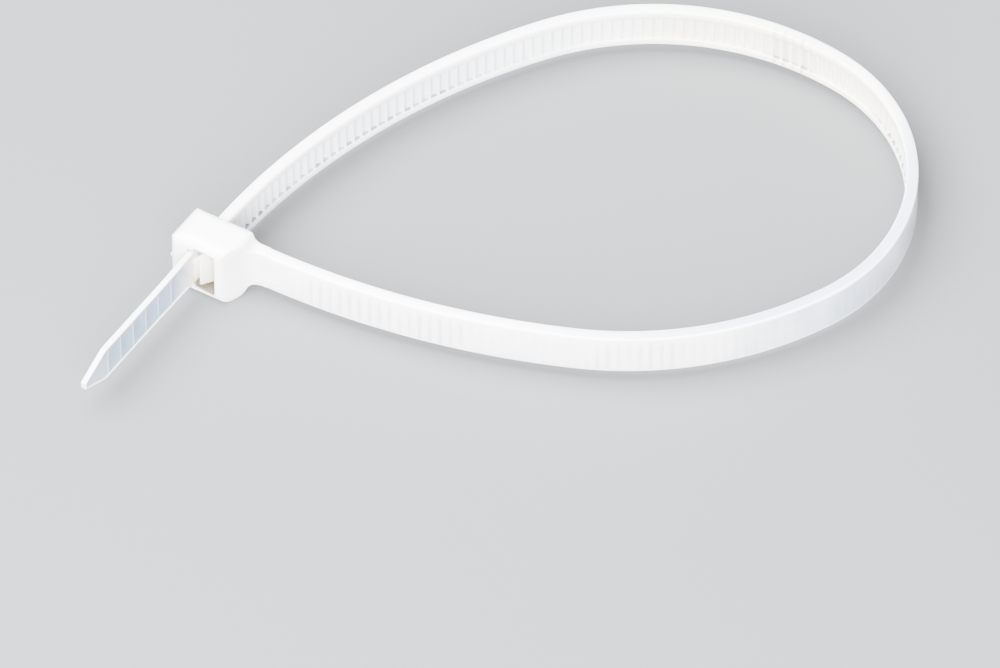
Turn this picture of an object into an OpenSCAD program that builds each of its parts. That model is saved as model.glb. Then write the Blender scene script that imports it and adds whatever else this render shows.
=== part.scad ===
// Self-locking nylon cable tie, moulded in one piece and closed into a loop.
// Lengths are millimetres. X runs from the head along the root of the strap, Y points
// to the side of the head where the strap goes in, and Z is the width of the strap.
// The origin is under the middle of the slot, on the side of the head that it lies on.

/* [Strap] */
// Width of the strap
strap_w = 4.8; // [4.2:0.1:5.6]
// Thickness of the strap over its rails
strap_t = 1.1; // [1:0.05:1.4]
// Thickness of the web that the teeth stand on
web_t = 0.6; // [0.45:0.05:0.7]
// Width of each smooth rail beside the teeth
rail_w = 0.9; // [0.6:0.05:1.1]
// Radius of the long edges of the strap
strap_edge_r = 0.18; // [0.1:0.02:0.25]

/* [Teeth] */
// Distance from one tooth to the next
tooth_pitch = 0.98; // [0.9:0.02:1.1]
// Length of the slope that slides past the pawl
tooth_ramp = 0.58; // [0.4:0.02:0.62]
// Flat top of each tooth
tooth_land = 0.16; // [0.1:0.02:0.2]
// Undercut of the steep face that the pawl bears on
tooth_draft = 0.05; // [0:0.01:0.08]
// How far the tops of the teeth lie below the rails
tooth_drop = 0.06; // [0.02:0.01:0.12]
// Length of the loop before the first tooth
tooth_start = 2.2; // [0.8:0.1:4]
// Number of teeth pulled past the pawl, which sets the size of the loop
teeth_pulled = 160; // [130:1:180]

/* [Loop] */
// Bends of the first four arcs of the loop, from the root on; a fifth one takes the rest
bends = [21, 40, 111, 58.5];
// Radius of the second arc, on the root side
root_flank_r = 35; // [30:0.5:42]
// Radius of the fourth arc, on the slot side
slot_flank_r = 28.5; // [26:0.5:33]

/* [Head] */
// Width of the head, across the strap
head_w = 7.5; // [6.8:0.1:9]
// Height of the head, from the entry face to the exit face
head_h = 4.3; // [3.8:0.1:5]
// Distance from the middle of the slot to the outer end of the head
head_back = 2.65; // [1.9:0.05:3]
// Distance from the middle of the slot to the corner of the exit face on the strap's side
head_front = 2.75; // [2.6:0.05:2.8]
// Distance from the middle of the slot to where the loop starts
neck_x = 5.6; // [5.6:0.1:7]
// Distance of the rails of the strap below the entry face
entry_drop = 0.3; // [0.2:0.05:0.4]
// Distance from the middle of the slot to where the entry face starts to drop
drop_x = 3.3; // [3.1:0.1:3.5]
// Slope of the ramp between the exit face and the strap
ramp_angle = 60; // [60:1:75]
// Radius of the corners of the head seen from the exit face
head_corner_r = 1.4; // [0.6:0.1:1.6]
// Radius of the long edges of the head
head_edge_r = 0.55; // [0.3:0.05:0.8]
// Radius of the two edges of the outer end of the head
head_end_r = 0.8; // [0.4:0.05:0.9]
// Radius of the hollow where the ramp runs into the strap
neck_r = 2; // [0.6:0.1:2]
// Distance from the middle of the slot to where the shoulders leave the full width
shoulder_x = 3.8; // [3.6:0.1:4.2]
// Length over which the shoulders come down to the width of the strap
shoulder_run = 0.5; // [0.3:0.1:0.8]
// Radius of the corner and of the hollow of each shoulder
shoulder_r = 0.65; // [0.4:0.05:0.7]
// Distance from the middle of the slot to where the hollow between the rails starts
hollow_x = 4.1; // [3.6:0.1:4.8]

/* [Slot] */
// Lean of the slot from square to the root of the strap
slot_lean = 6; // [0:1:10]
// Free space round the strap in the slot
slot_gap = 0.1; // [0.06:0.02:0.2]
// Depth of the flared mouth on the entry face
mouth_depth = 0.6; // [0.3:0.1:1]
// How far the mouth flares on each side
mouth_flare = 0.4; // [0.2:0.05:0.6]

/* [Pawl] */
// Width of the teeth of the pawl, which pass between the rails
pawl_w = 2.7; // [2:0.1:2.8]
// Width of the bar behind the teeth
pawl_bar_w = 4.1; // [3:0.1:4.4]
// Thickness of the bar at its free end
pawl_tip_t = 0.5; // [0.4:0.05:0.6]
// Thickness of the living hinge that joins the bar to the wall behind it
hinge_t = 0.5; // [0.35:0.05:0.7]
// Distance of the exit side of the hinge from the middle of the slot
hinge_y = -0.85; // [-1:0.05:-0.6]
// Distance from the middle of the slot to the wall behind the pawl
recess_x = 2.15; // [1.9:0.05:2.2]
// Distance of the inner end of the recess from the middle of the slot
recess_y = 0.4; // [0.3:0.05:0.6]
// Width of the recess, across the strap
recess_w = 5.2; // [5:0.1:5.6]
// Radius of the corners of the recess seen from the exit face
recess_r = 0.6; // [0.2:0.1:1]
// Number of teeth on the pawl
pawl_teeth = 2; // [1:1:2]
// Distance from the middle of the slot to the tooth that the end of the pawl bears on
pawl_reach = 1.5; // [1.3:0.05:1.7]
// Free space between the teeth of the pawl and those of the strap
pawl_gap = 0.05; // [0.03:0.01:0.07]

/* [Tail] */
// Length of the tail beyond the exit face
tail_l = 17; // [10:0.2:40]
// Width of the tail
tail_w = 3.9; // [3.6:0.1:4.6]
// Thickness of the tail over its rails
tail_t = 0.7; // [0.6:0.05:1]
// Width of the rails of the tail
tail_rail_w = 0.45; // [0.35:0.05:0.7]
// Depth of the hollow between the rails of the tail
tail_hollow = 0.3; // [0.2:0.05:0.35]
// Length of the tapered end
tip_l = 3.2; // [2.4:0.1:5]
// Width of the blunt end of the tip
tip_w = 1.1; // [0.6:0.1:1.4]
// Radius where the sides of the tail turn into the tapered end
tip_r = 1.6; // [1:0.1:1.8]
// Radius of the two corners of the blunt end
tip_end_r = 0.15; // [0.1:0.05:0.3]
// Distance between the grip ribs in the hollow
grip_pitch = 2.9; // [2:0.1:4]
// Width of a grip rib
grip_w = 0.25; // [0.15:0.05:0.4]
// Height of a grip rib
grip_h = 0.12; // [0.08:0.02:0.2]

/* [Moulding marks] */
// Diameter of the round ejector mark on the strap beside the head
ejector_d = 2.3; // [1.6:0.1:3]
// Depth of the ejector mark
ejector_depth = 0.08; // [0.04:0.02:0.15]
// Distance of the ejector mark from the start of the loop
ejector_s = 0.8; // [0.6:0.1:3]
// Diameter of the gate stub on the outer end of the head
gate_d = 1; // [0.6:0.1:1.4]
// Height of the gate stub
gate_h = 0.18; // [0.1:0.02:0.3]
// Distance of the gate stub from the middle of the head's height
gate_y = -0.2; // [-1:0.1:1]

/* [Hidden] */
$fn = 48;

natural_nylon = [0.93, 0.93, 0.9];
// Middle of the strap's width above the side that the head lies on
mid_z = head_w/2;
// Offsets from the middle of the strap's thickness, counted towards the inside of the loop
outer_face = -strap_t/2;
inner_face = strap_t/2;
web_face = outer_face + web_t;
crest_face = inner_face - tooth_drop;
tooth_zone_w = strap_w - 2*rail_w;
// Middle of the strap's thickness at the root
root_y = head_h/2 - entry_drop - strap_t/2;
// The last arc turns what the others leave of the corner between the root and the slot
turn = 270 - slot_lean;
arc_bends = concat(bends, [turn - total(bends)]);
slot_dir = [cos(turn), sin(turn)];
// Straight stretch of the strap from the last arc to the middle of the slot
entry_run = 0.3;
lead_in = head_h/2 + entry_run;
loop_start = [neck_x, root_y];
loop_aim = -lead_in*slot_dir;
wanted_len = tooth_start + teeth_pulled*tooth_pitch - lead_in - pawl_reach;
// The free end of the pawl lies this far from the middle of the slot, just inside the exit face
pawl_end_y = 0.15 - head_h/2;
// In the slot the strap ends and narrows to the tail, at these distances past its middle
taper_from = 0.2;
taper_to = head_h/2 - 0.2;
taper_r = 0.8;
// The hollow of the tail starts this far past the exit face
tail_hollow_lead = 0.35;
// Overlap that carries one shape into the next, and a cut past a face
overlap = 0.1;
cut = 0.5;
// Where a face runs on inside another one it lies this far below it
inset = 0.02;

// Sums, the path of the strap and points along it
function total(v, i = 0) = i < len(v) ? v[i] + total(v, i + 1) : 0;
function upto(v, n) = n > 0 ? v[n - 1] + upto(v, n - 1) : 0;
function heading(i) = upto(arc_bends, i);
// Chord of an arc of radius 1 that starts at heading a and ends at heading b
function chord(a, b) = [sin(b) - sin(a), cos(a) - cos(b)];
function arc_chord(i) = chord(heading(i), heading(i + 1));
function radians(a) = a*PI/180;
function det3(a, b, c) =
    a[0]*(b[1]*c[2] - b[2]*c[1]) - b[0]*(a[1]*c[2] - a[2]*c[1]) + c[0]*(a[1]*b[2] - a[2]*b[1]);
// What a unit of radius of arc i adds to the end point and to the length of the loop
function arc_share(i) = [arc_chord(i)[0], arc_chord(i)[1], radians(arc_bends[i])];

// The first, third and last radii close the loop at its length, to a thousandth
gap_left = [
    loop_aim[0] - loop_start[0], loop_aim[1] - loop_start[1], wanted_len
] - root_flank_r*arc_share(1) - slot_flank_r*arc_share(3);
closing = det3(arc_share(0), arc_share(2), arc_share(4));
function rounded(x, step) = step*round(x/step);
arc_radii = [
    rounded(det3(gap_left, arc_share(2), arc_share(4))/closing, 0.001),
    root_flank_r,
    rounded(det3(arc_share(0), gap_left, arc_share(4))/closing, 0.001),
    slot_flank_r,
    rounded(det3(arc_share(0), arc_share(2), gap_left)/closing, 0.001)
];
arc_lengths = [for (i = [0:4]) arc_radii[i]*radians(arc_bends[i])];
function arc_start(i) = i > 0 ? arc_start(i - 1) + arc_radii[i - 1]*arc_chord(i - 1) : loop_start;
loop_end = arc_start(5);
// Distances along the strap of the end of the loop, the middle of the slot, the exit face
// and the end of the tail
loop_len = total(arc_lengths);
slot_s = loop_len + lead_in;
exit_s = slot_s + head_h/2;
tail_end_s = exit_s + tail_l;
function arc_of(s, i = 0) = i < 4 && s > upto(arc_lengths, i + 1) ? arc_of(s, i + 1) : i;
function left(a) = [-sin(a), cos(a)];
// Point at the distance s along the strap, off to the inside of the loop by the offset
function on_arc(i, a, off) = arc_start(i) + arc_radii[i]*(left(heading(i)) - left(a)) + off*left(a);
function at(s, off) =
    s > loop_len ? loop_end + (s - loop_len)*slot_dir + off*left(turn)
    : on_arc(arc_of(s), direction(s), off);
function direction(s) =
    s > loop_len ? turn
    : heading(arc_of(s)) + (s - upto(arc_lengths, arc_of(s)))/arc_radii[arc_of(s)]*180/PI;

// Corner rounding: the tangent length and the centre of a circle of radius r in a corner
function unit(v) = v/norm(v);
function corner_angle(a, b, c) = acos(max(-1, min(1, unit(a - b)*unit(c - b))));
function corner_cut(a, b, c, r) = r/tan(corner_angle(a, b, c)/2);
function corner_centre(a, b, c, r) =
    b + unit(unit(a - b) + unit(c - b))*r/sin(corner_angle(a, b, c)/2);
function is_convex(a, b, c) = (b[0] - a[0])*(c[1] - b[1]) - (b[1] - a[1])*(c[0] - b[0]) > 0;

// Outline through counter-clockwise points, with a true arc of its own radius in each corner
module rounded_outline(points, radii) {
    n = len(points);
    before = [for (i = [0:n - 1]) points[(i + n - 1) % n]];
    after = [for (i = [0:n - 1]) points[(i + 1) % n]];
    difference() {
        union() {
            polygon([for (i = [0:n - 1]) each radii[i] > 0 ? [
                points[i] + unit(before[i] - points[i])*corner_cut(before[i], points[i], after[i], radii[i]),
                points[i] + unit(after[i] - points[i])*corner_cut(before[i], points[i], after[i], radii[i])
            ] : [points[i]]]);
            for (i = [0:n - 1])
                if (radii[i] > 0 && is_convex(before[i], points[i], after[i]))
                    translate(corner_centre(before[i], points[i], after[i], radii[i])) circle(radii[i]);
        }
        for (i = [0:n - 1])
            if (radii[i] > 0 && !is_convex(before[i], points[i], after[i]))
                translate(corner_centre(before[i], points[i], after[i], radii[i])) circle(radii[i]);
    }
}

// Prism of a plan outline between two heights
module plan_prism(z0, z1) {
    translate([0, 0, z0]) linear_extrude(z1 - z0) children();
}

// Prism of an outline in X and Z between two values of Y
module face_prism(y0, y1) {
    translate([0, y1, 0]) rotate([90, 0, 0]) linear_extrude(y1 - y0) children();
}

// Prism of an outline in Y and Z between two values of X
module end_prism(x0, x1) {
    translate([x0, 0, 0]) rotate([90, 0, 90]) linear_extrude(x1 - x0) children();
}

// Places a shape drawn along the slot: X across it to the strap's side, Y out of its mouth
module along_slot() {
    rotate(turn - 270) children();
}

// Section of the strap at the distance mid from the axis of a bend, a web between two rails
module strap_section(mid) {
    edge = strap_w/2;
    floor_z = edge - rail_w;
    rounded_outline([
        [mid - outer_face, -edge], [mid - outer_face, edge], [mid - inner_face, edge],
        [mid - inner_face, floor_z], [mid - web_face, floor_z], [mid - web_face, -floor_z],
        [mid - inner_face, -floor_z], [mid - inner_face, -edge]
    ], [strap_edge_r, strap_edge_r, strap_edge_r, 0, 0, 0, 0, strap_edge_r]);
}

// Point on the seam before arc i, off to the inside of the loop
function seam(i, off) = arc_start(i) + off*left(heading(i));
// Corner of the tangents at both ends of arc i, off to the outside
function tangent_corner(i, off) =
    seam(i, -off) + (arc_radii[i] + off)*tan(arc_bends[i]/2)*[cos(heading(i)), sin(heading(i))];

// The loop: five rings, each cut off at the seams that it shares with its neighbours. A ring is
// moved in two steps, since a length is passed on with six digits.
module loop_band() {
    margin = 2;
    for (i = [0:4]) {
        centre = arc_start(i) + arc_radii[i]*left(heading(i));
        coarse = [for (c = centre) rounded(c, 0.01)];
        intersection() {
            translate([coarse[0], coarse[1], mid_z])
                translate([centre[0] - coarse[0], centre[1] - coarse[1], 0])
                    rotate_extrude($fn = 360) strap_section(arc_radii[i]);
            plan_prism(0, head_w) polygon([
                seam(i, margin), seam(i, -margin), tangent_corner(i, margin),
                seam(i + 1, -margin), seam(i + 1, margin)
            ]);
        }
    }
}

// The strap on its straight way through the slot, a trace smaller than the loop that it runs into
module slot_band() {
    half_w = strap_w/2 - inset;
    floor_w = half_w - rail_w;
    from = loop_len - cut;
    p = loop_end - cut*slot_dir;
    translate([p[0], p[1], mid_z]) rotate(turn) rotate([90, 0, 90])
        linear_extrude(slot_s + taper_from - from) polygon([
            [outer_face + inset, -half_w], [inner_face - inset, -half_w],
            [inner_face - inset, -floor_w], [web_face - inset, -floor_w],
            [web_face - inset, floor_w], [inner_face - inset, floor_w],
            [inner_face - inset, half_w], [outer_face + inset, half_w]
        ]);
}

// One tooth as steps along the strap and offsets: steep face to the head, slope to the tail
tooth_profile = [
    [0, web_face - overlap], [-tooth_draft, crest_face],
    [tooth_land - tooth_draft, crest_face], [tooth_land + tooth_ramp, web_face - overlap]
];

// All the teeth, as one prism whose back lies inside the web
module tooth_row() {
    back = outer_face + web_t/2;
    last = teeth_pulled;
    end_s = tooth_start + last*tooth_pitch + tooth_land + tooth_ramp;
    steps = 72;
    half_w = strap_w/2 - rail_w/2;
    plan_prism(mid_z - half_w, mid_z + half_w)
        polygon(concat(
            [for (k = [0:last], p = tooth_profile) at(tooth_start + k*tooth_pitch + p[0], p[1])],
            [for (j = [0:steps]) at(end_s + (tooth_start - end_s)*j/steps, back)]
        ));
}

// Outline of the head in side view, its ramp running out into the root of the strap
module head_side_outline() {
    lean = tan(slot_lean);
    top = head_h/2;
    root_outer = root_y + outer_face;
    foot_x = head_front + (root_outer + top)/tan(ramp_angle);
    far_x = neck_x + head_h;
    rounded_outline([
        [head_front, -top], [foot_x, root_outer], [far_x, root_outer],
        [far_x, top - entry_drop], [drop_x + entry_drop, top - entry_drop], [drop_x, top],
        [-head_back + lean*top, top], [-head_back - lean*top, -top]
    ], [head_edge_r, neck_r, 0, 0, entry_drop, entry_drop, head_end_r, head_end_r]);
}

// Outline of the head seen from the exit face, its shoulders running out into the strap
module head_face_outline() {
    back = -head_back - head_h;
    foot_x = shoulder_x + shoulder_run;
    edge = strap_w/2;
    far_x = neck_x + head_h;
    translate([0, mid_z]) rounded_outline([
        [back, -head_w/2], [shoulder_x, -head_w/2], [foot_x, -edge], [far_x, -edge],
        [far_x, edge], [foot_x, edge], [shoulder_x, head_w/2], [back, head_w/2]
    ], [0, shoulder_r, shoulder_r, 0, 0, shoulder_r, shoulder_r, 0]);
}

// Rounded corners of the outer end of the head, along the lean of the slot
module head_end_outline() {
    translate([0, mid_z]) rounded_outline([
        [-head_back, -head_w/2], [neck_x + head_h, -head_w/2], [neck_x + head_h, head_w/2],
        [-head_back, head_w/2]
    ], [head_corner_r, 0, 0, head_corner_r]);
}

// The head with its neck, which ends where the loop starts
module head_block() {
    intersection() {
        plan_prism(0, head_w) head_side_outline();
        face_prism(-head_h, head_h) head_face_outline();
        along_slot() face_prism(-head_h, head_h) head_end_outline();
        end_prism(-head_back - head_h, neck_x) rounded_outline([
            [-head_h/2, 0], [head_h/2, 0], [head_h/2, head_w], [-head_h/2, head_w]
        ], [head_edge_r, head_edge_r, head_edge_r, head_edge_r]);
    }
}

// Hollow between the rails on the neck, where the teeth haven't started
module neck_hollow() {
    half_w = strap_w/2 - rail_w;
    face_prism(root_y + web_face, head_h)
        translate([hollow_x, mid_z - half_w]) square([neck_x - hollow_x, 2*half_w]);
}

// Space for the strap through the head, with a mouth that flares towards the entry face
module slot_space() {
    half_t = strap_t/2 + slot_gap;
    half_w = strap_w/2 + slot_gap;
    lip = head_h/2;
    top = lip + cut;
    flare = mouth_flare*(mouth_depth + cut)/mouth_depth;
    along_slot() {
        translate([-half_t, -head_h, mid_z - half_w]) cube([2*half_t, 2*head_h, 2*half_w]);
        intersection() {
            plan_prism(0, head_w) polygon([
                [-half_t, lip - mouth_depth], [half_t, lip - mouth_depth],
                [half_t + flare, top], [-half_t - flare, top]
            ]);
            end_prism(-head_h, head_h) translate([0, mid_z]) polygon([
                [lip - mouth_depth, -half_w], [top, -half_w - flare],
                [top, half_w + flare], [lip - mouth_depth, half_w]
            ]);
        }
    }
}

// Recess for the pawl, open on the exit face
module pawl_recess() {
    along_slot() face_prism(-head_h, recess_y) translate([0, mid_z]) rounded_outline([
        [0, -recess_w/2], [recess_x, -recess_w/2], [recess_x, recess_w/2], [0, recess_w/2]
    ], [0, recess_r, recess_r, 0]);
}

// Pawl: a leaning bar on a living hinge, with teeth that sit between those of the strap
module pawl() {
    bar_face = inner_face + 2*pawl_gap;
    floor_face = web_face + 2*pawl_gap;
    crest = crest_face + pawl_gap;
    tip_y = pawl_gap - pawl_reach;
    hinge_end = hinge_y + hinge_t;
    along_slot() {
        plan_prism(mid_z - pawl_w/2, mid_z + pawl_w/2) polygon(concat(
            [for (k = [0:pawl_teeth - 1], p = [
                [tooth_draft, crest], [0, floor_face], [tooth_land/2, floor_face],
                [tooth_pitch - tooth_land, crest]
            ]) [p[1], tip_y + k*tooth_pitch + p[0]]],
            [[bar_face + overlap, tip_y + pawl_teeth*tooth_pitch - tooth_land],
                [bar_face + overlap, tip_y + tooth_draft]]
        ));
        plan_prism(mid_z - pawl_bar_w/2, mid_z + pawl_bar_w/2) polygon([
            [bar_face, pawl_end_y], [bar_face + pawl_tip_t, pawl_end_y], [recess_x, hinge_y],
            [recess_x + overlap, hinge_y], [recess_x + overlap, hinge_end],
            [recess_x, hinge_end], [bar_face, tip_y + pawl_teeth*tooth_pitch - tooth_land]
        ]);
    }
}

// Outline of the tail in its own plane: along the strap from the middle of the slot, and across,
// with a rim of the given width left out
function tail_outline(rim) = [
    [0, 2*inset + rim - strap_w/2], [taper_to, rim - tail_w/2],
    [tail_end_s - slot_s - tip_l + rim/2, rim - tail_w/2],
    [tail_end_s - slot_s - rim, 0.4*rim - tip_w/2],
    [tail_end_s - slot_s - rim, tip_w/2 - 0.4*rim],
    [tail_end_s - slot_s - tip_l + rim/2, tail_w/2 - rim],
    [taper_to, tail_w/2 - rim], [0, strap_w/2 - rim - 2*inset]
];

// Prism of such an outline between two offsets in the thickness of the strap
module tail_prism(low, high) {
    p = at(slot_s, low);
    translate([p[0], p[1], mid_z]) rotate(turn) rotate([-90, 0, 0])
        linear_extrude(high - low) children();
}

// Tail with a rim all round, a hollow middle and low ribs across it for the fingers
module tail() {
    back_face = outer_face + 2*inset;
    tail_face = back_face + tail_t;
    hollow_face = tail_face - tail_hollow;
    start = exit_s - slot_s + tail_hollow_lead;
    hollow_r = tip_r - tail_rail_w;
    difference() {
        tail_prism(back_face, tail_face) rounded_outline(
            tail_outline(0), [0, taper_r, tip_r, tip_end_r, tip_end_r, tip_r, taper_r, 0]);
        tail_prism(hollow_face, tail_face + cut) difference() {
            rounded_outline(
                tail_outline(tail_rail_w), [0, taper_r, hollow_r, 0, 0, hollow_r, taper_r, 0]);
            translate([0, -strap_w]) square([start, 2*strap_w]);
        }
    }
    for (i = [1:floor((tail_l - tip_l)/grip_pitch)])
        tail_prism(hollow_face - overlap, hollow_face + grip_h)
            translate([start + i*grip_pitch - grip_w/2, (tail_rail_w - tail_w)/2])
                square([grip_w, tail_w - tail_rail_w]);
}

// Shallow round mark left by an ejector pin on the outer face of the strap
module ejector_mark() {
    p = at(ejector_s, outer_face - cut);
    translate([p[0], p[1], mid_z]) rotate(direction(ejector_s)) rotate([-90, 0, 0])
        cylinder(d = ejector_d, h = cut + ejector_depth);
}

// Stub that the gate leaves on the outer end of the head
module gate_stub() {
    along_slot() translate([-head_back - gate_h, gate_y, mid_z]) rotate([0, 90, 0])
        cylinder(d1 = gate_d - gate_h, d2 = gate_d, h = gate_h + overlap);
}

module cable_tie() {
    color(natural_nylon) {
        difference() {
            union() {
                difference() {
                    union() {
                        head_block();
                        gate_stub();
                    }
                    slot_space();
                    pawl_recess();
                    neck_hollow();
                }
                loop_band();
            }
            ejector_mark();
        }
        pawl();
        slot_band();
        tooth_row();
        tail();
    }
}

cable_tie();
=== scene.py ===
"""Looks of a moulded nylon cable tie closed into a loop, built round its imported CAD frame.

The shapes are worked out in millimetres in the frame of the CAD model and put into metres
when they are finished. X runs from the head along the root of the strap, Y points to the
entry side of the head, and Z is the width of the strap, up from the floor.
"""

import logging
import math
from dataclasses import dataclass
from enum import Enum
from typing import Callable, Sequence

import bmesh
import bpy
import numpy as np
from mathutils import Matrix, Vector
from mathutils.kdtree import KDTree


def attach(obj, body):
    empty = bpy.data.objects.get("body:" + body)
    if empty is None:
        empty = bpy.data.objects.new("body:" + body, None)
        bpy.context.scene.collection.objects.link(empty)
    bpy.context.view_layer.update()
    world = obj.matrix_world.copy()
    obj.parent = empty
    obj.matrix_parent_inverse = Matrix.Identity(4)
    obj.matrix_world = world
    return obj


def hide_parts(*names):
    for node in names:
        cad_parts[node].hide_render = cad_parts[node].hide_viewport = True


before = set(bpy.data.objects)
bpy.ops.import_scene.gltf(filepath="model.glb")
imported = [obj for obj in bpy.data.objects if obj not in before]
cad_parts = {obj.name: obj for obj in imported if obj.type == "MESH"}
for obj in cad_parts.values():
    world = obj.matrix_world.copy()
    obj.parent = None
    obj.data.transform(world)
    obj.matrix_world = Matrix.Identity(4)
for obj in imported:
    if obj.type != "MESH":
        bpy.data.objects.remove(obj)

METRES = 0.001
SOLVER = "EXACT"
BEVEL_ANGLE = math.radians(40)
SHADE_ANGLE = math.radians(38)
LOG = logging.getLogger("cable_tie")
Point = tuple[float, float]
Spot = tuple[float, float, float]
Colour = tuple[float, float, float]
Window = tuple[Point, Point]


class Cut(Enum):
    """What two solids make together."""

    JOIN = "UNION"
    TAKE_OUT = "DIFFERENCE"
    COMMON = "INTERSECT"


class Plane(Enum):
    """Plane that an outline is drawn in, and so the axis that it is extruded along."""

    PLAN = "xy"
    FACE = "xz"
    END = "yz"


def clamp(value: float, low: float = 0.0, high: float = 1.0) -> float:
    """Keeps a value between two limits."""
    return min(high, max(low, value))


def oblong(low: Point, high: Point) -> list[Point]:
    """Returns the corners of an oblong outline, in order from its lowest one."""
    return [low, (high[0], low[1]), high, (low[0], high[1])]


def rounded(points: Sequence[Point], radii: Sequence[float], steps: int = 8) -> list[Point]:
    """Rounds the corners of a closed outline.

    Args:
        points: Corners of the outline, in order.
        radii: Radius of each corner, where 0 leaves it sharp.
        steps: Number of chords in the arc of a corner.

    Returns:
        The points of the rounded outline.
    """
    out: list[Point] = []
    count = len(points)
    for i, radius in enumerate(radii):
        corner = np.array(points[i], float)
        if radius <= 0:
            out.append((float(corner[0]), float(corner[1])))
            continue
        back = np.array(points[i - 1], float) - corner
        ahead = np.array(points[(i + 1) % count], float) - corner
        back /= np.linalg.norm(back)
        ahead /= np.linalg.norm(ahead)
        half = math.acos(clamp(float(back @ ahead), -1.0)) / 2
        middle = back + ahead
        centre = corner + middle / np.linalg.norm(middle) * radius / math.sin(half)
        first = corner + back * radius / math.tan(half) - centre
        last = corner + ahead * radius / math.tan(half) - centre
        a0 = math.atan2(first[1], first[0])
        turn = (math.atan2(last[1], last[0]) - a0 + math.pi) % (2 * math.pi) - math.pi
        for k in range(steps + 1):
            a = a0 + turn * k / steps
            spot = centre + radius * np.array((math.cos(a), math.sin(a)))
            out.append((float(spot[0]), float(spot[1])))
    return out


def scene_object(name: str, data: bpy.types.ID) -> bpy.types.Object:
    """Puts a mesh, curve, camera or lamp into the scene as an object of its own."""
    obj = bpy.data.objects.new(name, data)
    bpy.context.scene.collection.objects.link(obj)
    return obj


def drop(*objs: bpy.types.Object) -> None:
    """Takes working objects out of the scene for good."""
    for obj in objs:
        bpy.data.objects.remove(obj, do_unlink=True)


def outward(mesh: bpy.types.Mesh) -> None:
    """Turns the faces of a closed mesh outwards."""
    work = bmesh.new()
    work.from_mesh(mesh)
    bmesh.ops.recalc_face_normals(work, faces=work.faces)
    work.to_mesh(mesh)
    work.free()


def loft(name: str, verts: Sequence[Spot], turn: float = 0.0) -> bpy.types.Mesh:
    """Makes a closed mesh of two like outlines with walls between them.

    Args:
        name: Name of the mesh.
        verts: Points of one outline, and then as many points of the other.
        turn: Turn of the finished mesh about the upright axis, in degrees.

    Returns:
        The mesh, with its faces turned outwards.
    """
    count = len(verts) // 2
    faces = [tuple(range(count)), tuple(range(2 * count - 1, count - 1, -1))]
    faces += [(i, (i + 1) % count, count + (i + 1) % count, count + i) for i in range(count)]
    mesh = bpy.data.meshes.new(name)
    mesh.from_pydata(verts, [], faces)
    mesh.transform(Matrix.Rotation(math.radians(turn), 4, "Z"))
    outward(mesh)
    return mesh


def blunt_cone(name: str, low_r: float, high_r: float, depth: float, sides: int) -> bpy.types.Mesh:
    """Makes a cone without its tip, round the Z axis and with its middle at the origin."""
    mesh = bpy.data.meshes.new(name)
    work = bmesh.new()
    bmesh.ops.create_cone(
        work, cap_ends=True, segments=sides, radius1=low_r, radius2=high_r, depth=depth
    )
    work.to_mesh(mesh)
    work.free()
    return mesh


def prism(
    outline: Sequence[Point], low: float, high: float, plane: Plane, turn: float = 0.0
) -> bpy.types.Object:
    """Extrudes a closed outline to a solid.

    Args:
        outline: Points of the outline in its plane.
        low: Where the solid starts, along the axis square to the plane.
        high: Where the solid ends.
        plane: Plane that the outline is drawn in.
        turn: Turn of the finished solid about the upright axis, in degrees.

    Returns:
        The solid as a working object.
    """
    place: dict[Plane, Callable[[Point, float], Spot]] = {
        Plane.PLAN: lambda p, t: (p[0], p[1], t),
        Plane.FACE: lambda p, t: (p[0], t, p[1]),
        Plane.END: lambda p, t: (t, p[0], p[1]),
    }
    verts = [place[plane](p, t) for t in (low, high) for p in outline]
    return scene_object("prism", loft("prism", verts, turn))


def combine(base: bpy.types.Object, other: bpy.types.Object, cut: Cut) -> bpy.types.Object:
    """Joins, cuts or intersects a solid with another one, which is used up.

    Args:
        base: Solid that is changed.
        other: Solid that it is combined with.
        cut: What the two make together.

    Returns:
        The changed solid.
    """
    mod = base.modifiers.new("combine", "BOOLEAN")
    mod.operation = cut.value
    mod.solver = SOLVER
    mod.object = other
    settle(base)
    drop(other)
    return base


def modified(obj: bpy.types.Object) -> bpy.types.Mesh:
    """Returns what an object's modifiers make of it, as a plain mesh."""
    bpy.context.view_layer.update()
    depsgraph = bpy.context.evaluated_depsgraph_get()
    return bpy.data.meshes.new_from_object(obj.evaluated_get(depsgraph))


def settle(obj: bpy.types.Object) -> None:
    """Replaces an object's mesh by what its modifiers make of it, and removes them."""
    done = modified(obj)
    obj.modifiers.clear()
    obj.data = done


def soften(obj: bpy.types.Object, width: float) -> None:
    """Bevels the sharp edges of a solid, as its mould leaves them."""
    bevel = obj.modifiers.new("soften", "BEVEL")
    bevel.width = width
    bevel.segments = 2
    bevel.limit_method = "ANGLE"
    bevel.angle_limit = BEVEL_ANGLE
    settle(obj)


def clean(obj: bpy.types.Object, gap: float = 0.003) -> None:
    """Closes the slivers that cuts and unions leave in a working solid."""
    work = bmesh.new()
    work.from_mesh(obj.data)
    bmesh.ops.remove_doubles(work, verts=work.verts, dist=gap)
    bmesh.ops.dissolve_degenerate(work, edges=work.edges, dist=gap / 3)
    holes = [e for e in work.edges if e.is_boundary]
    if holes:
        bmesh.ops.holes_fill(work, edges=holes, sides=8)
    work.to_mesh(obj.data)
    work.free()


def polyline(name: str, points: Sequence[Spot], closed: bool) -> bpy.types.Object:
    """Makes a curve object of straight chords through the points."""
    curve = bpy.data.curves.new(name, "CURVE")
    curve.dimensions = "3D"
    spline = curve.splines.new("POLY")
    spline.points.add(len(points) - 1)
    for knot, point in zip(spline.points, points):
        knot.co = (*point, 1.0)
    spline.use_cyclic_u = closed
    return scene_object(name, curve)


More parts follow.
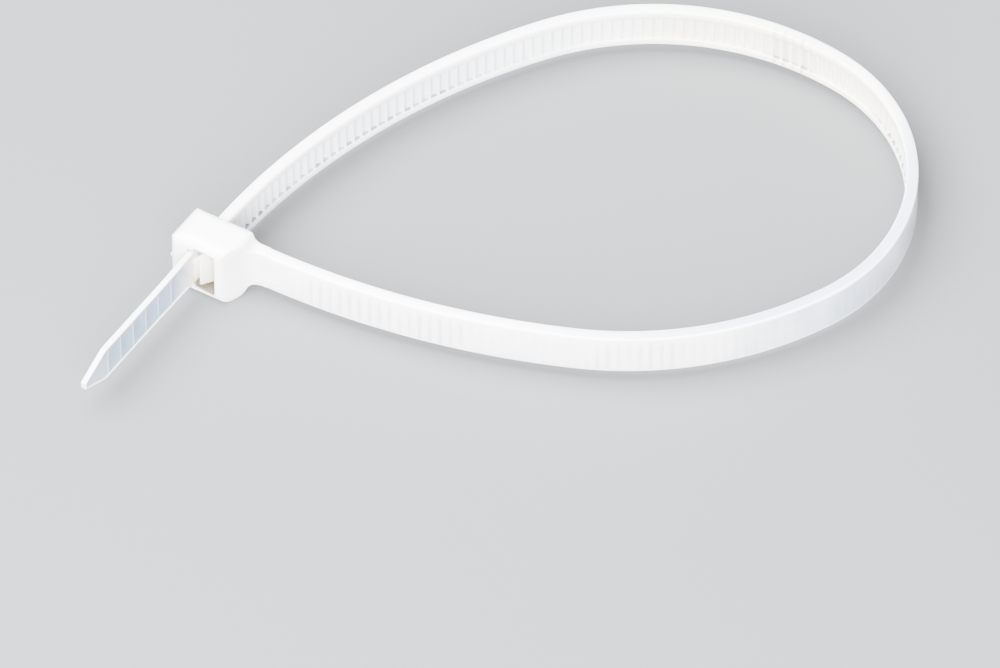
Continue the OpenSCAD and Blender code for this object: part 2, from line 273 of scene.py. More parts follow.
@dataclass(frozen=True)
class StrapPath:
    """Line along the middle of the strap's thickness, seen from above.

    It starts where the neck ends, turns left through tangent arcs and runs straight through
    the slot of the head.
    """

    start: Point = (5.6, 1.3)
    bends: tuple[float, ...] = (21.0, 40.0, 111.0, 58.5, 33.5)
    radii: tuple[float, ...] = (82.701, 35.0, 16.922, 28.5, 65.714)
    lead_in: float = 2.45
    head_h: float = 4.3
    tail_l: float = 17.0

    @property
    def loop_len(self) -> float:
        """Length of the arcs."""
        return float(sum(r * math.radians(b) for r, b in zip(self.radii, self.bends)))

    @property
    def turn(self) -> float:
        """Direction of the strap in the slot, in degrees from the X axis."""
        return sum(self.bends)

    @property
    def slot_s(self) -> float:
        """Distance along the strap of the middle of the slot."""
        return self.loop_len + self.lead_in

    @property
    def exit_s(self) -> float:
        """Distance along the strap of the exit face of the head."""
        return self.slot_s + self.head_h / 2

    @property
    def tail_end_s(self) -> float:
        """Distance along the strap of the end of the tail."""
        return self.exit_s + self.tail_l

    def at(self, s: float, off: float = 0.0) -> Point:
        """Point at a distance along the strap, off towards the inside of the loop."""
        x, y, heading = self.start[0], self.start[1], 0.0
        left = s
        if s > 0:
            for radius, bend in zip(self.radii, self.bends):
                length = radius * math.radians(bend)
                step = min(left, length)
                ahead = heading + step / radius
                x += radius * (math.sin(ahead) - math.sin(heading))
                y += radius * (math.cos(heading) - math.cos(ahead))
                heading, left = ahead, left - step
                if left <= 0:
                    break
        x += left * math.cos(heading)
        y += left * math.sin(heading)
        return (x - off * math.sin(heading), y + off * math.cos(heading))

    def line(self, first: float, last: float, step: float, height: float) -> list[Spot]:
        """Points along the strap between two distances, at one height."""
        count = max(2, round((last - first) / step))
        run = last - first
        return [(*self.at(first + run * i / count), height) for i in range(count + 1)]


@dataclass
class Strap:
    """Loop of the strap: a web between two rails, with teeth across its inner side."""

    path: StrapPath
    width: float = 4.8
    thick: float = 1.1
    web: float = 0.6
    rail_w: float = 0.9
    edge_r: float = 0.18
    foot_r: float = 0.1
    pitch: float = 0.98
    land: float = 0.16
    ramp: float = 0.58
    draft: float = 0.05
    drop: float = 0.06
    first_tooth: float = 2.2
    teeth: int = 160
    teeth_on_tail: int = 2
    tooth_soft: float = 0.035
    tooth_foot: float = 0.1
    tooth_reach: float = 0.6
    heel_in: float = 0.06
    heel_out: float = 0.02
    lead: float = 0.5
    overlap: float = 0.45
    slack: float = 0.02
    step: float = 0.5
    mid_z: float = 3.75
    mark_d: float = 2.3
    mark_depth: float = 0.035
    mark_s: float = 0.8
    mark_over: float = 0.5

    @property
    def outer(self) -> float:
        """Offset of the outer face, counted towards the inside of the loop."""
        return -self.thick / 2

    @property
    def web_face(self) -> float:
        """Offset of the web between the rails."""
        return self.outer + self.web

    def section(self) -> bpy.types.Object:
        """Makes the strap's section as a closed curve, X to the outside and Y down."""
        edge, floor = self.width / 2, self.width / 2 - self.rail_w
        inner = -self.thick / 2
        corners = [
            (-self.outer, -edge), (-self.outer, edge), (inner, edge), (inner, floor),
            (-self.web_face, floor), (-self.web_face, -floor), (inner, -floor), (inner, -edge),
        ]
        r, foot = self.edge_r, self.foot_r
        outline = rounded(corners, [r, r, r, foot, foot, foot, foot, r], steps=4)
        return polyline("section", [(x, y, 0.0) for x, y in outline], closed=True)

    def tooth(self) -> bpy.types.Object:
        """Makes one tooth, X to the outside of the loop, Y down and Z along the strap."""
        crest, foot = -(self.thick / 2 - self.drop), self.tooth_foot - self.web_face
        soft, lean, heel = self.tooth_soft, self.draft, self.land + self.ramp
        profile = [
            (0.0, foot), (soft * 0.2 - lean, crest + soft), (soft - lean, crest),
            (self.land - lean - soft, crest), (self.land - lean + soft, crest + soft * 0.8),
            (heel - self.heel_in, -self.web_face), (heel + self.heel_out, foot),
        ]
        half = self.width / 2 - self.rail_w * self.tooth_reach
        verts = [(x, y, z) for y in (-half, half) for z, x in profile]
        return scene_object("tooth", loft("tooth", verts))

    def tree(self) -> bpy.types.NodeTree:
        """Builds the node tree that sweeps the section along the strap and sets the teeth on it."""
        tree = bpy.data.node_groups.new("toothed strap", "GeometryNodeTree")
        face = tree.interface
        face.new_socket("Geometry", in_out="INPUT", socket_type="NodeSocketGeometry")
        for name, kind in (
            ("Section", "Object"), ("Tooth", "Object"), ("Material", "Material"),
            ("Tooth Pitch", "Float"), ("First Tooth", "Float"), ("Last Tooth", "Float"),
        ):
            face.new_socket(name, in_out="INPUT", socket_type=f"NodeSocket{kind}")
        face.new_socket("Geometry", in_out="OUTPUT", socket_type="NodeSocketGeometry")
        nodes, links = tree.nodes, tree.links
        given = nodes.new("NodeGroupInput")
        upright = nodes.new("GeometryNodeSetCurveNormal")
        upright.mode = "Z_UP"
        links.new(given.outputs["Geometry"], upright.inputs["Curve"])
        section = nodes.new("GeometryNodeObjectInfo")
        links.new(given.outputs["Section"], section.inputs["Object"])
        sweep = nodes.new("GeometryNodeCurveToMesh")
        sweep.inputs["Fill Caps"].default_value = True
        links.new(upright.outputs["Curve"], sweep.inputs["Curve"])
        links.new(section.outputs["Geometry"], sweep.inputs["Profile Curve"])
        trim = nodes.new("GeometryNodeTrimCurve")
        trim.mode = "LENGTH"
        start, end = [s for s in trim.inputs if s.type == "VALUE" and s.enabled]
        links.new(upright.outputs["Curve"], trim.inputs["Curve"])
        links.new(given.outputs["First Tooth"], start)
        links.new(given.outputs["Last Tooth"], end)
        places = nodes.new("GeometryNodeCurveToPoints")
        places.mode = "LENGTH"
        links.new(trim.outputs["Curve"], places.inputs["Curve"])
        links.new(given.outputs["Tooth Pitch"], places.inputs["Length"])
        tooth = nodes.new("GeometryNodeObjectInfo")
        links.new(given.outputs["Tooth"], tooth.inputs["Object"])
        row = nodes.new("GeometryNodeInstanceOnPoints")
        links.new(places.outputs["Points"], row.inputs["Points"])
        links.new(places.outputs["Rotation"], row.inputs["Rotation"])
        links.new(tooth.outputs["Geometry"], row.inputs["Instance"])
        real = nodes.new("GeometryNodeRealizeInstances")
        links.new(row.outputs["Instances"], real.inputs["Geometry"])
        union = nodes.new("GeometryNodeMeshBoolean")
        union.operation = "UNION"
        union.solver = SOLVER
        links.new(sweep.outputs["Mesh"], union.inputs["Mesh 2"])
        links.new(real.outputs["Geometry"], union.inputs["Mesh 2"])
        dress = nodes.new("GeometryNodeSetMaterial")
        links.new(union.outputs["Mesh"], dress.inputs["Geometry"])
        links.new(given.outputs["Material"], dress.inputs["Material"])
        result = nodes.new("NodeGroupOutput")
        links.new(dress.outputs["Geometry"], result.inputs["Geometry"])
        return tree

    def build(self, material: bpy.types.Material) -> bpy.types.Object:
        """Builds the strap from the neck to the slot as one closed solid.

        Args:
            material: Material that the tree sets on it.

        Returns:
            The strap as a working object, in millimetres.
        """
        run = self.path.line(-self.lead, self.path.slot_s + self.overlap, self.step, self.mid_z)
        line = polyline("strap line", run, closed=False)
        section, tooth = self.section(), self.tooth()
        tree = self.tree()
        mod = line.modifiers.new("strap", "NODES")
        mod.node_group = tree
        first = self.lead + self.first_tooth
        last = first + (self.teeth - self.teeth_on_tail) * self.pitch + self.slack
        values = {
            "Section": section, "Tooth": tooth, "Material": material,
            "Tooth Pitch": self.pitch, "First Tooth": first, "Last Tooth": last,
        }
        for item in tree.interface.items_tree:
            if item.item_type == "SOCKET" and item.in_out == "INPUT" and item.name in values:
                mod[item.identifier] = values[item.name]
        strap = scene_object("strap", modified(line))
        drop(line, section, tooth)
        return strap

    def ejector_mark(self) -> bpy.types.Object:
        """Builds the shallow round mark that an ejector pin left beside the head."""
        r, over = self.mark_d / 2, self.mark_over
        mesh = blunt_cone("mark", r - self.mark_depth / 2, r + over, 2 * over, 48)
        place = self.path.at(self.mark_s, self.outer + self.mark_depth - over)
        turn = Matrix.Rotation(math.radians(90), 4, "X")
        mesh.transform(Matrix.Translation((*place, self.mid_z)) @ turn)
        return scene_object("mark", mesh)


@dataclass
class Head:
    """Head with its slot and the neck that the strap grows from."""

    strap: Strap
    width: float = 7.5
    height: float = 4.3
    back: float = 2.65
    front: float = 2.75
    neck_x: float = 5.6
    neck_end: float = 5.9
    proud: float = 0.008
    root_y: float = 1.3
    entry_drop: float = 0.3
    drop_x: float = 3.3
    ramp_angle: float = 60.0
    corner_r: float = 1.4
    edge_r: float = 0.55
    lip_r: float = 1.0
    end_r: float = 0.8
    neck_r: float = 2.0
    shoulder_x: float = 3.8
    shoulder_run: float = 0.5
    shoulder_r: float = 0.65
    hollow_x: float = 4.1
    slot_lean: float = 6.0
    slot_gap: float = 0.1
    mouth_depth: float = 0.6
    mouth_flare: float = 0.4
    recess_x: float = 2.15
    recess_y: float = 0.4
    recess_w: float = 5.7
    recess_low_r: float = 0.4
    recess_top_r: float = 1.2
    gate_d: float = 0.7
    gate_h: float = 0.2
    gate_y: float = -1.65
    gate_z: float = 3.5
    gate_taper: float = 0.3
    gate_root: float = 0.3
    over: float = 1.0
    mouth_over: float = 0.5
    voxel: float = 0.08
    melt: float = 0.5
    melt_turns: int = 3

    def block(self) -> bpy.types.Object:
        """Builds the outside of the head and its neck."""
        mid = self.width / 2
        lean, top = math.tan(math.radians(self.slot_lean)), self.height / 2
        root_outer = self.root_y + self.strap.outer - self.proud
        foot_x = self.front + (root_outer + top) / math.tan(math.radians(self.ramp_angle))
        far = self.neck_x + self.height
        neck_top = top - self.entry_drop + self.proud
        side = rounded(
            [
                (self.front, -top), (foot_x, root_outer), (far, root_outer), (far, neck_top),
                (self.drop_x + self.entry_drop, neck_top), (self.drop_x, top),
                (-self.back + lean * top, top), (-self.back - lean * top, -top),
            ],
            [
                self.edge_r, self.neck_r, 0, 0,
                self.entry_drop, self.entry_drop, self.end_r, self.end_r,
            ],
        )
        out, knee = -self.back - self.height, self.shoulder_x + self.shoulder_run
        edge = self.strap.width / 2 + self.proud
        r = self.shoulder_r
        face = rounded(
            [
                (out, 0), (self.shoulder_x, 0), (knee, mid - edge), (far, mid - edge),
                (far, mid + edge), (knee, mid + edge), (self.shoulder_x, self.width),
                (out, self.width),
            ],
            [0, r, r, 0, 0, r, r, 0],
        )
        c, e, high = self.corner_r, self.lip_r, self.height
        end = rounded(oblong((-self.back, 0), (far, self.width)), [c, 0, 0, c])
        through = rounded(oblong((-top, 0), (top, self.width)), [e, e, e, e])
        body = prism(side, -self.over, self.width + self.over, Plane.PLAN)
        combine(body, prism(face, -high, high, Plane.FACE), Cut.COMMON)
        combine(body, prism(end, -high, high, Plane.FACE, -self.slot_lean), Cut.COMMON)
        combine(body, prism(through, out, self.neck_end, Plane.END), Cut.COMMON)
        return body

    def openings(self) -> list[bpy.types.Object]:
        """Builds what is taken out of the head: slot, mouth, recess and the hollow of the neck."""
        mid, lip = self.width / 2, self.height / 2
        half_t = self.strap.thick / 2 + self.slot_gap
        half_w = self.strap.width / 2 + self.slot_gap
        top = lip + self.mouth_over
        flare = self.mouth_flare * (self.mouth_depth + self.mouth_over) / self.mouth_depth
        slot = prism(
            oblong((-half_t, mid - half_w), (half_t, mid + half_w)),
            -self.height, self.height, Plane.FACE, -self.slot_lean,
        )
        mouth = prism(
            [
                (-half_t, lip - self.mouth_depth), (half_t, lip - self.mouth_depth),
                (half_t + flare, top), (-half_t - flare, top),
            ],
            -self.over, self.width + self.over, Plane.PLAN, -self.slot_lean,
        )
        across = prism(
            [
                (lip - self.mouth_depth, mid - half_w), (top, mid - half_w - flare),
                (top, mid + half_w + flare), (lip - self.mouth_depth, mid + half_w),
            ],
            -self.height, self.height, Plane.END, -self.slot_lean,
        )
        combine(mouth, across, Cut.COMMON)
        half = self.recess_w / 2
        recess = prism(
            rounded(
                oblong((0, mid - half), (self.recess_x, mid + half)),
                [0, self.recess_low_r, self.recess_top_r, 0],
            ),
            -self.height, self.recess_y, Plane.FACE, -self.slot_lean,
        )
        inner_w = self.strap.width / 2 - self.strap.rail_w - self.proud
        hollow = prism(
            oblong((self.hollow_x, mid - inner_w), (self.neck_end + self.over, mid + inner_w)),
            self.root_y + self.strap.web_face + self.proud, self.height, Plane.FACE,
        )
        return [slot, mouth, recess, hollow]

    def gate(self) -> bpy.types.Object:
        """Builds the stub of the gate on the outer end of the head."""
        r, tip_r = self.gate_d / 2, (self.gate_d - self.gate_taper) / 2
        mesh = blunt_cone("gate", r, tip_r, self.gate_h + self.gate_root, 24)
        mesh.transform(Matrix.Rotation(math.radians(-90), 4, "Y"))
        x = -self.back - self.gate_h / 2 + self.gate_root / 2
        mesh.transform(Matrix.Translation((x, self.gate_y, self.gate_z)))
        mesh.transform(Matrix.Rotation(math.radians(-self.slot_lean), 4, "Z"))
        return scene_object("gate", mesh)

    def build(self) -> bpy.types.Object:
        """Builds the head, with its edges softened as they leave the mould."""
        head = self.block()
        combine(head, self.gate(), Cut.JOIN)
        for opening in self.openings():
            combine(head, opening, Cut.TAKE_OUT)
        remesh = head.modifiers.new("remesh", "REMESH")
        remesh.mode = "VOXEL"
        remesh.voxel_size = self.voxel
        melt = head.modifiers.new("melt", "SMOOTH")
        melt.factor = self.melt
        melt.iterations = self.melt_turns
        settle(head)
        return head


@dataclass
class Pawl:
    """Leaning bar on a living hinge, with teeth that sit between those of the strap."""

    head: Head
    width: float = 2.7
    bar_w: float = 4.1
    tip_t: float = 0.16
    hinge_t: float = 0.5
    hinge_y: float = -0.1
    teeth: int = 2
    reach: float = 1.5
    gap: float = 0.02
    end_y: float = -2.0
    overlap: float = 0.1
    root: float = 0.3
    soft: float = 0.05

    def build(self) -> bpy.types.Object:
        """Builds the pawl as one closed solid, its hinge running into the wall behind it."""
        strap, lean, mid = self.head.strap, -self.head.slot_lean, self.head.width / 2
        bar_face = strap.thick / 2 + 2 * self.gap
        floor_face = strap.web_face + 2 * self.gap
        crest = strap.thick / 2 - strap.drop + self.gap
        tip_y = self.gap - self.reach
        last_y = tip_y + self.teeth * strap.pitch - strap.land
        hinge_end, wall = self.hinge_y + self.hinge_t, self.head.recess_x
        wedge: list[Point] = []
        for k in range(self.teeth):
            y = tip_y + k * strap.pitch
            wedge += [
                (crest, y + strap.draft), (floor_face, y), (floor_face, y + strap.land / 2),
                (crest, y + strap.pitch - strap.land),
            ]
        within = bar_face + self.overlap
        wedge += [(within, last_y), (within, tip_y + strap.draft)]
        pawl = prism(wedge, mid - self.width / 2, mid + self.width / 2, Plane.PLAN, lean)
        bar = prism(
            [
                (bar_face, self.end_y), (bar_face + self.tip_t, self.end_y), (wall, self.hinge_y),
                (wall + self.root, self.hinge_y), (wall + self.root, hinge_end),
                (wall, hinge_end), (bar_face, last_y),
            ],
            mid - self.bar_w / 2, mid + self.bar_w / 2, Plane.PLAN, lean,
        )
        combine(pawl, bar, Cut.JOIN)
        soften(pawl, self.soft)
        return pawl


@dataclass
class Tail:
    """Tail beyond the head: a rim round a hollow with low ribs, tapering to a blunt tip."""

    path: StrapPath
    strap: Strap
    width: float = 4.2
    thick: float = 0.52
    rail_w: float = 0.25
    hollow: float = 0.2
    tip_l: float = 3.2
    tip_w: float = 0.8
    tip_r: float = 1.6
    tip_end_r: float = 0.15
    first_grip: float = 3.3
    grips: int = 6
    grip_pitch: float = 1.98
    grip_w: float = 0.17
    grip_h: float = 0.06
    hollow_lead: float = 0.2
    hollow_slope: float = 1.6
    taper_to: float = 7.0
    taper_r: float = 5.0
    inset: float = 0.04
    tooth_gap: float = 0.05
    grip_root: float = 0.1
    over: float = 0.5
    soft: float = 0.05

    @property
    def face(self) -> float:
        """Offset of the rim's face, counted towards the inside of the loop."""
        return self.strap.outer + self.inset + self.thick

    @property
    def floor(self) -> float:
        """Offset of the hollow's floor."""
        return self.face - self.hollow

    @property
    def root_half(self) -> float:
        """Half of the tail's width where it begins within the slot."""
        return self.strap.width / 2 - self.inset

    def half_at(self, x: float) -> float:
        """Half of the tail's width at a distance beyond the middle of the slot, before its tip."""
        root = self.root_half
        return root + (self.width / 2 - root) * min(1.0, x / self.taper_to)

    def outline(self, rim: float) -> list[Point]:
        """Returns the tail's outline along and across the strap, with a rim left out."""
        end = self.path.tail_end_s - self.path.slot_s
        half, root, tip = self.width / 2, self.root_half, end - self.tip_l + rim / 2
        blunt = self.tip_w / 2 - 0.4 * rim
        return [
            (0, rim - root), (self.taper_to, rim - half), (tip, rim - half), (end - rim, -blunt),
            (end - rim, blunt), (tip, half - rim), (self.taper_to, half - rim), (0, root - rim),
        ]

    def seated(self, solid: bpy.types.Object) -> bpy.types.Object:
        """Moves a solid that was drawn from the middle of the slot to its place on the strap."""
        turn = Matrix.Rotation(math.radians(self.path.turn), 4, "Z")
        place = (*self.path.at(self.path.slot_s), self.strap.mid_z)
        solid.data.transform(Matrix.Translation(place) @ turn)
        return solid

    def slab(self, outline: Sequence[Point], low: float, high: float) -> bpy.types.Object:
        """Extrudes an outline along and across the strap between two offsets in its thickness."""
        return self.seated(prism(outline, low, high, Plane.FACE))

    def profile(self, outline: Sequence[Point], half: float) -> bpy.types.Object:
        """Extrudes an outline along the strap and in its thickness to both sides of its middle."""
        return self.seated(prism(outline, -half, half, Plane.PLAN))

    def last_teeth(self) -> list[bpy.types.Object]:
        """Builds the teeth that lie under the pawl, where the strap already narrows to the tail."""
        strap = self.strap
        half = strap.width / 2 - strap.rail_w - self.tooth_gap
        crest, low = strap.thick / 2 - strap.drop, strap.web_face
        teeth = []
        for k in range(strap.teeth - strap.teeth_on_tail + 1, strap.teeth + 1):
            x = strap.first_tooth + k * strap.pitch - self.path.slot_s
            outline = [
                (x, low), (x + strap.land + strap.ramp, low), (x + strap.land - strap.draft, crest),
                (x - strap.draft, crest),
            ]
            teeth.append(self.profile(outline, half))
        return teeth

    def pocket(self) -> bpy.types.Object:
        """Builds what is taken out of the tail for its hollow, which begins with a slope."""
        start = self.path.exit_s - self.path.slot_s + self.hollow_lead
        slope_end, low, high = start + self.hollow_slope, self.floor, self.face
        t, inner = self.taper_r, self.tip_r - self.rail_w
        outline = rounded(self.outline(self.rail_w), [0, t, inner, 0, 0, inner, t, 0])
        hollow = self.slab(outline, low, high + self.over)
        far = 2 * self.over
        keep = self.profile(
            [
                (-far, low - self.over), (slope_end, low - self.over), (slope_end, low),
                (start, high), (start, high + far), (-far, high + far),
            ],
            self.strap.width,
        )
        return combine(hollow, keep, Cut.TAKE_OUT)

    def build(self) -> bpy.types.Object:
        """Builds the tail as one closed solid with soft edges."""
        t, tip, end_r = self.taper_r, self.tip_r, self.tip_end_r
        outline = rounded(self.outline(0), [0, t, tip, end_r, end_r, tip, t, 0])
        tail = self.slab(outline, self.strap.outer + self.inset, self.face)
        combine(tail, self.pocket(), Cut.TAKE_OUT)
        half_w, half_l = self.width / 2 - self.rail_w / 2, self.grip_w / 2
        for i in range(self.grips):
            x = self.path.exit_s - self.path.slot_s + self.first_grip + i * self.grip_pitch
            rib = oblong((x - half_l, -half_w), (x + half_l, half_w))
            rib_top = self.floor + self.grip_h
            combine(tail, self.slab(rib, self.floor - self.grip_root, rib_top), Cut.JOIN)
        for tooth in self.last_teeth():
            combine(tail, tooth, Cut.JOIN)
        soften(tail, self.soft)
        return tail


@dataclass
class Coordinates:
    """Gives each piece a map that follows the strap, and the depth of its cavities.

    The map's first value counts teeth along the strap, its second runs from -1 to 1 across it.
    """

    path: StrapPath
    strap: Strap
    head: Head
    tail: Tail
    half_w: float = 2.4
    step: float = 0.1
    ahead: float = 0.01
    band_from: float = 1.5
    band_run: float = 5.0
    head_gap: float = 0.02
    inner_from: float = 0.3
    inner_run: float = 0.2
    cavity_x: float = -0.7
    cavity_y: float = 1.7
    cavity_run: float = 0.35
    cavity_gap: float = 0.05
    pool_from: float = 0.2
    pool_run: float = 2.4
    pool_end: float = 4.0
    pool_rim: float = 0.06
    pool_gap: float = 0.03
    pool_sink: float = 0.05

    def samples(self) -> tuple[KDTree, np.ndarray]:
        """Samples the strap's path, for looking up what lies nearest."""
        distances = np.arange(-1.0, self.path.tail_end_s, self.step)
        tree = KDTree(len(distances))
        for i, s in enumerate(distances):
            tree.insert((*self.path.at(float(s)), 0.0), i)
        tree.balance()
        return tree, distances

    def on_strap(self, spot: Vector, s: float) -> Point:
        """Finds a spot's place along the strap and off its middle.

        Args:
            spot: Spot on a piece, in millimetres.
            s: Distance along the strap of the nearest sample of its path.

        Returns:
            The distance along the strap, and the offset towards the inside of the loop.
        """
        base, ahead = self.path.at(s), self.path.at(s + self.ahead)
        run_x, run_y = ahead[0] - base[0], ahead[1] - base[1]
        dx, dy = spot.x - base[0], spot.y - base[1]
        return s + (dx * run_x + dy * run_y) / self.ahead, (dy * run_x - dx * run_y) / self.ahead

    def cavity(self, spot: Vector) -> float:
        """Depth of a spot in the slot and the recess, from 0 outside to 1 at the bottom."""
        # The depth sets how deep the painted shade is in the slot and the recess.
        head, lean = self.head, math.radians(self.head.slot_lean)
        x = spot.x * math.cos(lean) - spot.y * math.sin(lean)
        y = spot.x * math.sin(lean) + spot.y * math.cos(lean)
        z = abs(spot.z - head.width / 2)
        gap = self.cavity_gap
        if not self.cavity_x < x < head.recess_x + gap or z >= head.recess_w / 2 + gap:
            return 0.0
        return clamp((y + head.height / 2) / self.cavity_run) if y < self.cavity_y else 0.0

    def pool(self, s: float, off: float, across: float) -> float:
        """Depth of shade in the tail's hollow.

        It is fainter at both ends of the hollow, on the ribs and on the upper side.

        Args:
            s: Distance along the strap.
            off: Offset towards the inside of the loop.
            across: Height above the middle of the strap's width.

        Returns:
            The depth, where 0 is none.
        """
        tail, past = self.tail, s - self.path.exit_s
        level = off - tail.floor
        side = tail.half_at(s - self.path.slot_s) - tail.rail_w + self.pool_gap
        if past < self.pool_from or abs(across) > side:
            return 0.0
        if not -self.pool_sink < level < tail.hollow - self.pool_rim:
            return 0.0
        start = clamp(past / self.pool_run, 0.35)
        end = clamp((self.path.tail_end_s - s) / self.pool_end, 0.55)
        on_floor = 1.0 if level < self.pool_gap else 0.75
        return start * end * on_floor * (0.88 if across > 0 else 1.1)

    def marks(self, spot: Vector, s: float, off: float, whole: bool) -> dict[str, float]:
        """Works out what the material is told about one spot.

        Args:
            spot: Spot on a piece, in millimetres.
            s: Its distance along the strap.
            off: Its offset towards the inside of the loop.
            whole: Whether the piece is strap all over, unlike one that holds the head too.

        Returns:
            The value of each attribute.
        """
        strap, head = self.strap, self.head
        in_head = spot.x < head.neck_end and abs(spot.y) < head.height / 2 + self.head_gap
        grown = 0.0 if in_head else clamp((s - self.band_from) / self.band_run)
        # The cavity value and the hollow value set how deep the painted shade is in the slot and
        # the recess and in the tail's hollow.
        return {
            "band": 1.0 if whole else grown,
            "cavity": self.cavity(spot),
            "inner": clamp((off - strap.outer - self.inner_from) / self.inner_run),
            "rise": clamp((off - strap.web_face) / (strap.thick - strap.web)),
            "hollow": self.pool(s, off, spot.z - strap.mid_z) if whole else 0.0,
        }

    def apply(self, obj: bpy.types.Object, whole: bool) -> None:
        """Writes the map and the attributes to a piece.

        Args:
            obj: Working object, in millimetres.
            whole: Whether the piece is strap all over, unlike one that holds the head too.
        """
        tree, distances = self.samples()
        strap, mesh = self.strap, obj.data
        uv: list[Point] = []
        marks: list[dict[str, float]] = []
        for vert in mesh.vertices:
            spot = vert.co
            _, near, _ = tree.find((spot.x, spot.y, 0.0))
            s, off = self.on_strap(spot, float(distances[near]))
            count = (s - strap.first_tooth) / strap.pitch
            uv.append((count, (spot.z - strap.mid_z) / self.half_w))
            marks.append(self.marks(spot, s, off, whole))
        corners = np.empty(len(mesh.loops), np.int32)
        mesh.loops.foreach_get("vertex_index", corners)
        layer = mesh.uv_layers.get("strap") or mesh.uv_layers.new(name="strap")
        layer.data.foreach_set("uv", np.array(uv, np.float32)[corners].ravel())
        for name in marks[0]:
            attribute = mesh.attributes.new(name, "FLOAT", "POINT")
            values = np.array([mark[name] for mark in marks], np.float32)
            attribute.data.foreach_set("value", values)


